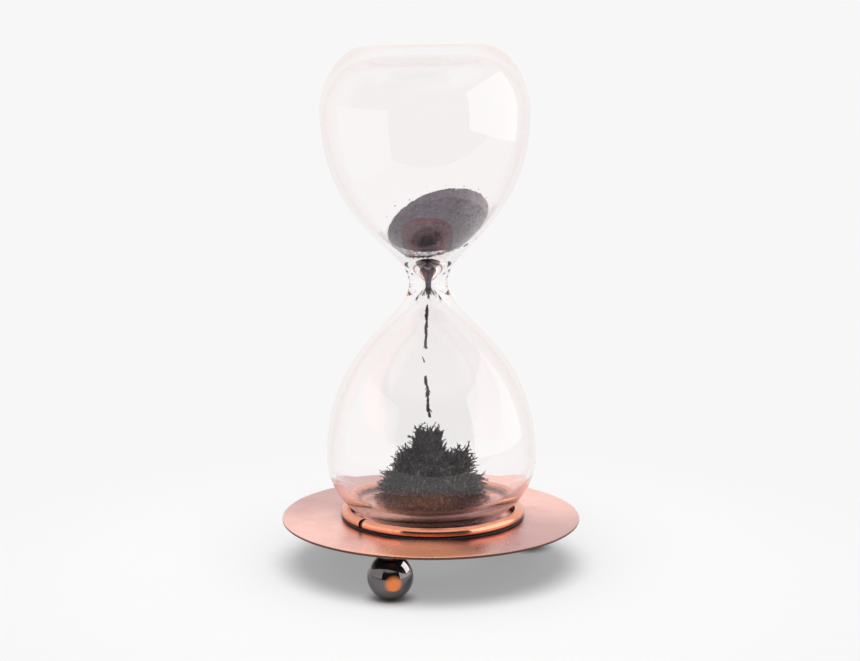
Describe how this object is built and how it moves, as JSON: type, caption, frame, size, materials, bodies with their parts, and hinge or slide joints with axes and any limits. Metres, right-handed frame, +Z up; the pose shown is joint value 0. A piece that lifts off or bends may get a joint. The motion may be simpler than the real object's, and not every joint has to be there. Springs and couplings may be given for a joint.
{
  "type": "magnetic iron-filings hourglass on a stand",
  "caption": "Sealed clear glass hourglass holding iron filings, standing in a wire ring on a round copper plate with a magnet beneath and ball feet.",
  "frame": {"origin": "on the desk plane that the ball feet touch, below the centre of the base plate", "axes": "+Z up through the plate, -Y towards the viewer's front side, +X to the right"},
  "size_m": [0.086, 0.086, 0.1503],
  "materials": {
    "copper_plate": "copper plated, satin brushed and lacquered, darkened in the corners",
    "copper_wire": "copper plated round wire, polished, blackened beneath",
    "solder": "soft solder, blackened",
    "black_nickel": "mirror-polished black nickel plate",
    "steel": "zinc plated",
    "adhesive": "acrylic foam tape",
    "magnet_plating": "nickel plated neodymium",
    "clear_glass": "flame-polished blown borosilicate glass",
    "iron_powder": "fine matt iron powder",
    "iron_filings": "coarse magnetised iron filings",
    "iron_dust": "thin layer of rusty iron dust"
  },
  "bodies": {
    "stand": {"base_plate": "copper_plate", "locating_ring": "copper_wire", "ring_solder_bead": "solder", "front_ball_foot": "black_nickel", "right_ball_foot": "black_nickel", "left_ball_foot": "black_nickel", "front_foot_collar": "black_nickel", "right_foot_collar": "black_nickel", "left_foot_collar": "black_nickel", "front_foot_stud": "steel", "right_foot_stud": "steel", "left_foot_stud": "steel", "magnet_adhesive_disc": "adhesive", "disc_magnet": "magnet_plating", "magnet_cup": "steel"},
    "hourglass": {"glass_hourglass": "clear_glass", "upper_filings_heap": "iron_powder", "neck_filings_plug": "iron_filings", "falling_strand_lower": "iron_filings", "spiky_filings_pile": "iron_filings", "filings_skirt": "iron_dust", "loose_grains": "iron_filings"},
    "falling_filings": {"falling_strand_upper": "iron_filings", "falling_clumps": "iron_filings"}
  },
  "joints": [
    {"name": "glass_lift", "type": "slide", "parent": "stand", "child": "hourglass", "axis": [0, 0, 1], "range_m": [0, 0.06]},
    {"name": "filings_fall", "type": "slide", "parent": "hourglass", "child": "falling_filings", "axis": [0, 0, -1], "range_m": [0, 0.003]}
  ]
}
